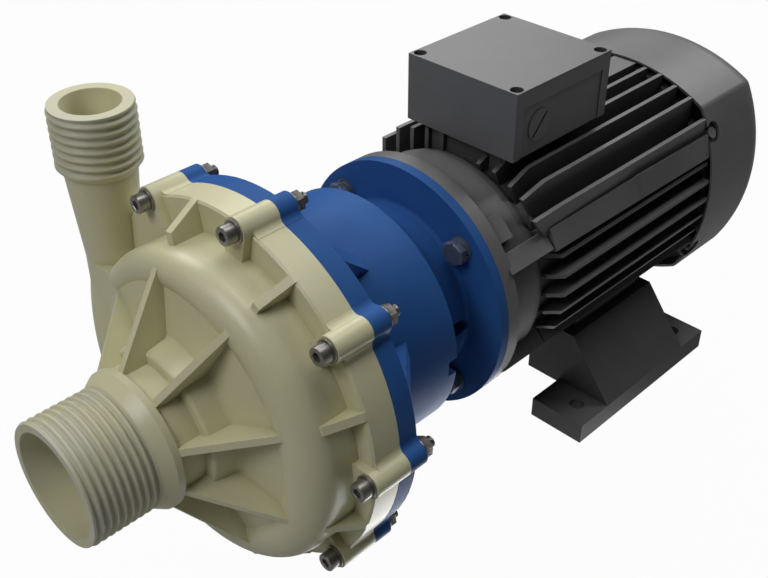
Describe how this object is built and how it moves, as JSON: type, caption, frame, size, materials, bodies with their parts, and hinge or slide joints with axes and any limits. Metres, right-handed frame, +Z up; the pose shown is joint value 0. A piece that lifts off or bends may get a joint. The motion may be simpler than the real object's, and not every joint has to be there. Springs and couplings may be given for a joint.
{
  "type": "centrifugal pump",
  "caption": "Horizontal magnetic-drive centrifugal pump: plastic spiral casing with threaded end suction and upright discharge, lantern bracket and foot-mounted electric motor.",
  "frame": {"origin": "middle of the four foot holes, in the plane that the feet stand on", "axes": "+Y along the shaft from the suction nozzle to the fan, +Z up along the discharge nozzle, +X to the right for someone facing the suction nozzle"},
  "size_m": [0.2998, 0.6738, 0.3129],
  "materials": {
    "cream_plastic": "moulded, slightly glossy",
    "blue_paint": "satin cast",
    "grey_paint": "satin",
    "stainless_steel": "satin",
    "zinc_steel": "blued zinc plating",
    "bearing_steel": "polished",
    "shaft_steel": "ground",
    "core_steel": "laminated",
    "copper_winding": "varnished",
    "rubber": "matte",
    "ceramic": "ground",
    "carbon": "smooth",
    "magnet": "plated",
    "black_plastic": "moulded",
    "brass": "turned",
    "cast_iron": "machined"
  },
  "bodies": {
    "housing": {"pump_casing": "cream_plastic", "casing_o_ring": "rubber", "containment_shell": "cream_plastic", "pump_shaft": "ceramic", "shaft_support": "cream_plastic", "front_thrust_ring": "ceramic", "rear_thrust_ring": "ceramic", "lantern_bracket": "blue_paint", "casing_screws": "stainless_steel", "casing_washers": "stainless_steel", "casing_nuts": "stainless_steel", "casing_inserts": "brass", "flange_bolts": "zinc_steel", "flange_washers": "zinc_steel", "flange_spring_washers": "zinc_steel", "motor_shield": "grey_paint", "shaft_seal": "rubber", "front_bearing_outer": "bearing_steel", "front_bearing_balls": "bearing_steel", "rear_bearing_outer": "bearing_steel", "rear_bearing_balls": "bearing_steel", "stator_frame": "grey_paint", "stator_core": "core_steel", "stator_windings": "copper_winding", "rear_shield": "grey_paint", "tie_screws": "zinc_steel", "fan_cover": "grey_paint", "fan_cover_screws": "zinc_steel", "terminal_box": "grey_paint", "terminal_box_lid": "grey_paint", "terminal_box_screws": "zinc_steel", "entry_plugs": "grey_paint", "terminal_block": "black_plastic", "terminal_studs": "brass", "foot_right": "grey_paint", "foot_left": "grey_paint", "foot_screws": "zinc_steel"},
    "motor_rotor": {"motor_shaft": "shaft_steel", "rotor_core": "core_steel", "shaft_key": "shaft_steel", "outer_magnet_hub": "cast_iron", "outer_magnets": "magnet", "front_bearing_inner": "bearing_steel", "rear_bearing_inner": "bearing_steel", "cooling_fan": "black_plastic"},
    "impeller_set": {"impeller": "cream_plastic", "inner_magnet": "black_plastic", "impeller_bush": "carbon"}
  },
  "joints": [
    {"name": "rotor_spin", "type": "hinge", "parent": "housing", "child": "motor_rotor", "pos_m": [0, -0.159, 0.132], "axis": [0, 1, 0], "continuous": true},
    {"name": "impeller_spin", "type": "hinge", "parent": "housing", "child": "impeller_set", "pos_m": [0, -0.309, 0.132], "axis": [0, 1, 0], "continuous": true}
  ],
  "couplings": [
    {"joint": "impeller_spin", "follows": "rotor_spin", "ratio": 1}
  ]
}
